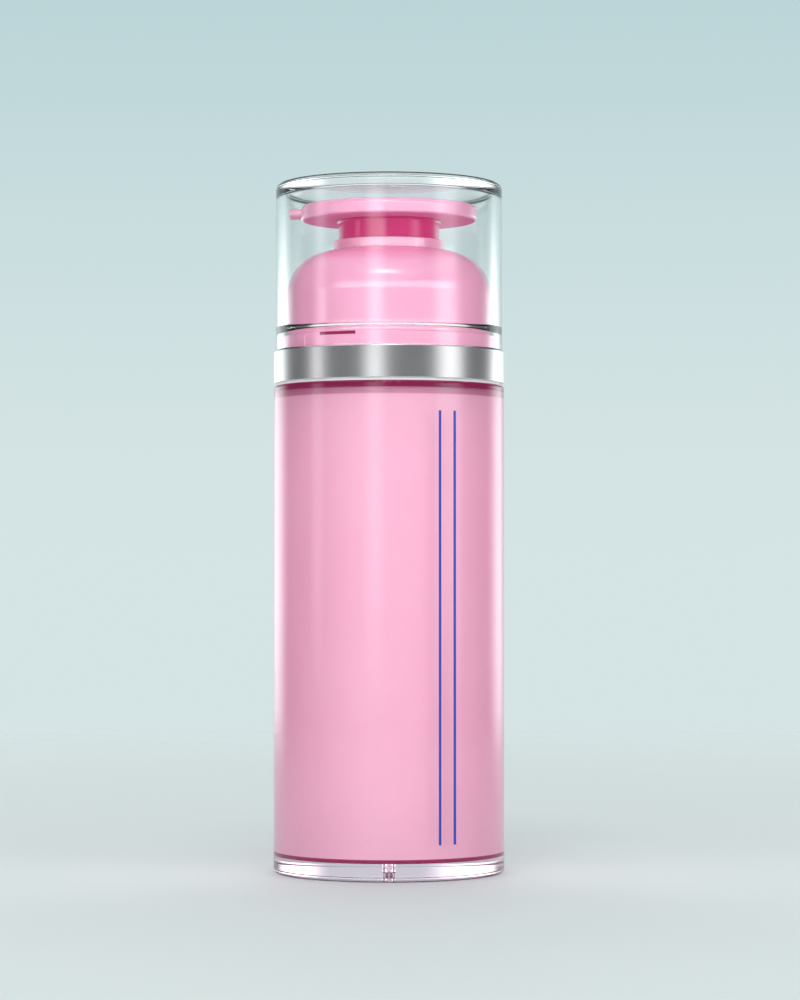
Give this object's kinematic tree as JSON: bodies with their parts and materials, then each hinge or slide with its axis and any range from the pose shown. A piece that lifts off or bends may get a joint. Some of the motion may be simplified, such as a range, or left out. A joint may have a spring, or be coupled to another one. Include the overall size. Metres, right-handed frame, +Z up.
{
  "type": "airless pump bottle",
  "caption": "Clear-jacketed pink airless bottle with a satin metal collar band, domed shoulder, disc press head with a thin side nozzle, and a clear lift-off overcap.",
  "frame": {"origin": "centre of the foot, on the surface the bottle stands on", "axes": "+Z up along the bottle's axis, -Y towards the pictured front, -X along the nozzle at rest"},
  "size_m": [0.048, 0.048, 0.1434],
  "materials": {
    "clear_plastic": "clear polished",
    "pink_plastic": "gloss",
    "deep_pink_plastic": "gloss",
    "satin_aluminium": "satin, polished edges",
    "white_plastic": "moulded",
    "soft_plastic": "waxy",
    "gasket_rubber": "matte",
    "steel": "drawn wire"
  },
  "bodies": {
    "bottle": {"outer_bottle": "clear_plastic", "inner_bottle": "pink_plastic", "inner_base": "deep_pink_plastic", "collar_ring": "white_plastic", "collar_band": "satin_aluminium", "dome_shoulder": "pink_plastic", "screw_closure": "white_plastic", "neck_gasket": "gasket_rubber", "pump_housing": "white_plastic", "stem_guide": "white_plastic", "return_spring": "steel"},
    "cap": {"overcap": "clear_plastic"},
    "plunger": {"pump_stem": "white_plastic", "piston_core": "white_plastic"},
    "head": {"actuator_button": "pink_plastic", "actuator_skirt": "deep_pink_plastic", "nozzle_tip": "pink_plastic"},
    "floating_seal": {"pump_piston": "soft_plastic"},
    "inlet_valve": {"inlet_ball": "steel"},
    "follower": {"follower_piston": "soft_plastic"}
  },
  "joints": [
    {"name": "cap_lift", "type": "slide", "parent": "bottle", "child": "cap", "axis": [0, 0, 1], "range_m": [0, 0.04]},
    {"name": "pump_press", "type": "slide", "parent": "bottle", "child": "plunger", "axis": [0, 0, -1], "range_m": [0, 0.0038], "stiffness_N_per_m": 1000, "springref_m": -0.006, "deforming": ["return_spring"]},
    {"name": "head_swivel", "type": "hinge", "parent": "plunger", "child": "head", "pos_m": [0, 0, 0.133], "axis": [0, 0, 1], "continuous": true},
    {"name": "seal_float", "type": "slide", "parent": "plunger", "child": "floating_seal", "axis": [0, 0, 1], "range_m": [0, 0.0006]},
    {"name": "inlet_lift", "type": "slide", "parent": "bottle", "child": "inlet_valve", "axis": [0, 0, 1], "range_m": [0, 0.0006]},
    {"name": "follower_rise", "type": "slide", "parent": "bottle", "child": "follower", "axis": [0, 0, 1], "range_m": [0, 0.0785]}
  ]
}
